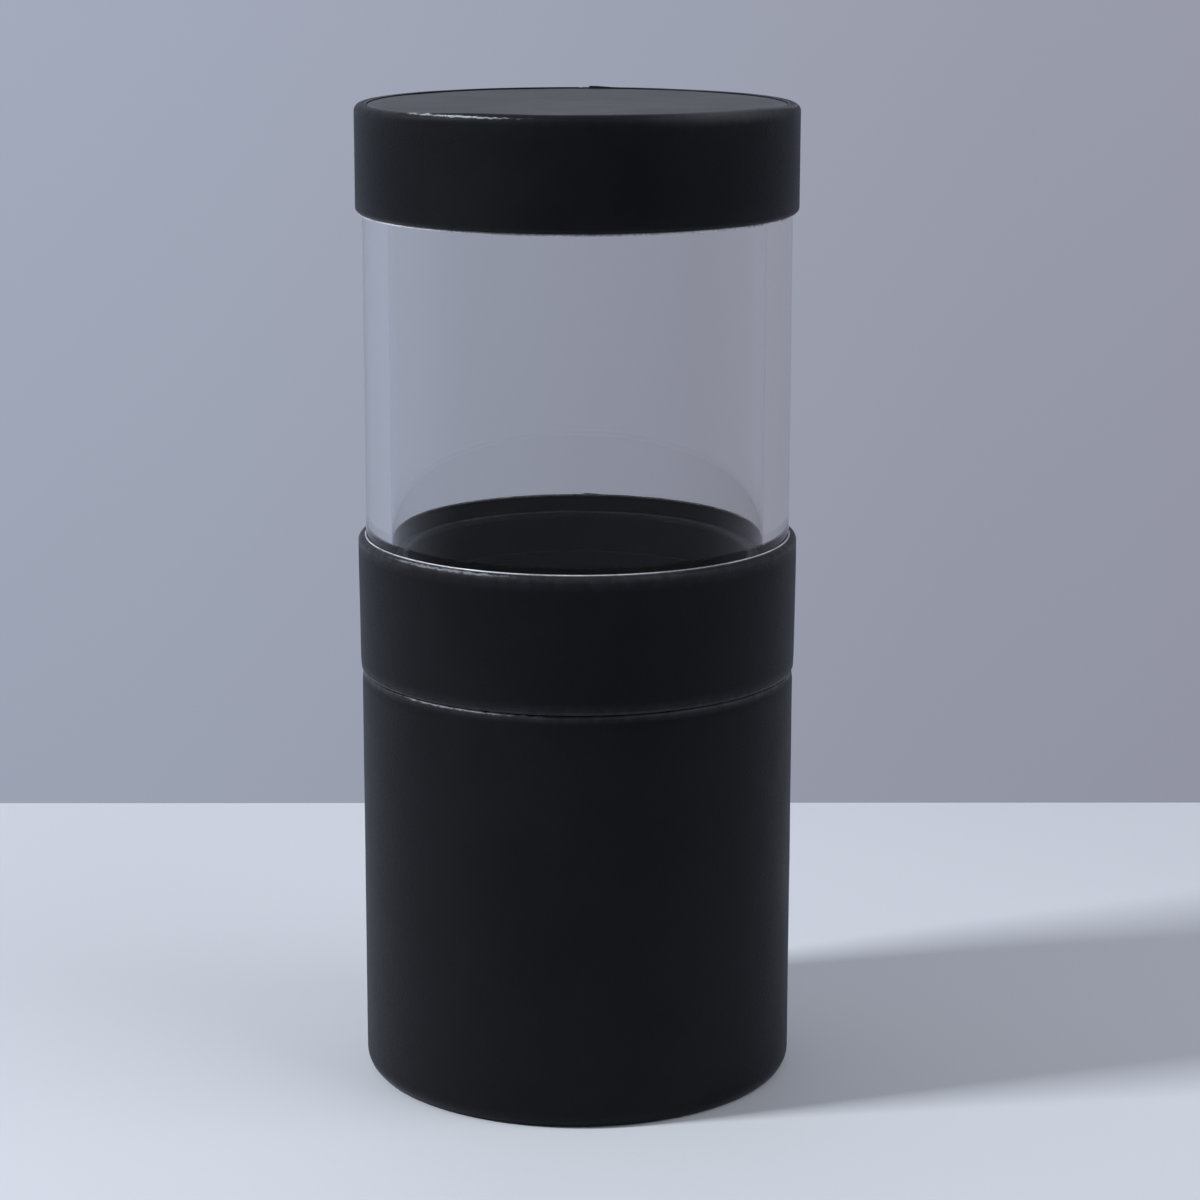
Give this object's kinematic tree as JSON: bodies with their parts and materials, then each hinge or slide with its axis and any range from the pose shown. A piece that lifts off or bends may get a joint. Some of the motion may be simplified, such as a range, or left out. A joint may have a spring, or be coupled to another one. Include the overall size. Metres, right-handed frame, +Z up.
{
  "type": "makeup brush holder",
  "caption": "Round leather-covered brush holder: a base cup with an inner neck, a lift-off clear tube with a leather collar, and a slip-on leather-covered lid.",
  "frame": {"origin": "centre of the bottom face that the holder stands on", "axes": "+Z up along the round holder's own axis; the front, as pictured, faces -Y, and the leather's joins are at the back, +Y"},
  "size_m": [0.086, 0.086, 0.192],
  "materials": {
    "leather": "matte black, fine even grain",
    "neck_covering": "thin, smooth, matte black",
    "clear_plastic": "clear, polished",
    "board": "pressed dark board, matte",
    "lining": "short black felt"
  },
  "bodies": {
    "base": {"cup_wall": "board", "cup_wrap": "leather", "cup_floor_board": "board", "cup_bottom_filler": "board", "cup_bottom_cover": "leather", "neck_tube": "board", "neck_wrap": "neck_covering", "cup_lining": "lining", "cup_floor_pad": "lining"},
    "cover": {"clear_tube": "clear_plastic", "collar_wrap": "leather"},
    "lid": {"lid_board": "board", "lid_skirt": "board", "lid_wrap": "leather", "lid_top_leather": "leather", "lid_lining": "lining"}
  },
  "joints": [
    {"name": "cover_lift", "type": "slide", "parent": "base", "child": "cover", "axis": [0, 0, 1], "range_m": [0, 0.12]},
    {"name": "lid_lift", "type": "slide", "parent": "cover", "child": "lid", "axis": [0, 0, 1], "range_m": [0, 0.1]}
  ]
}
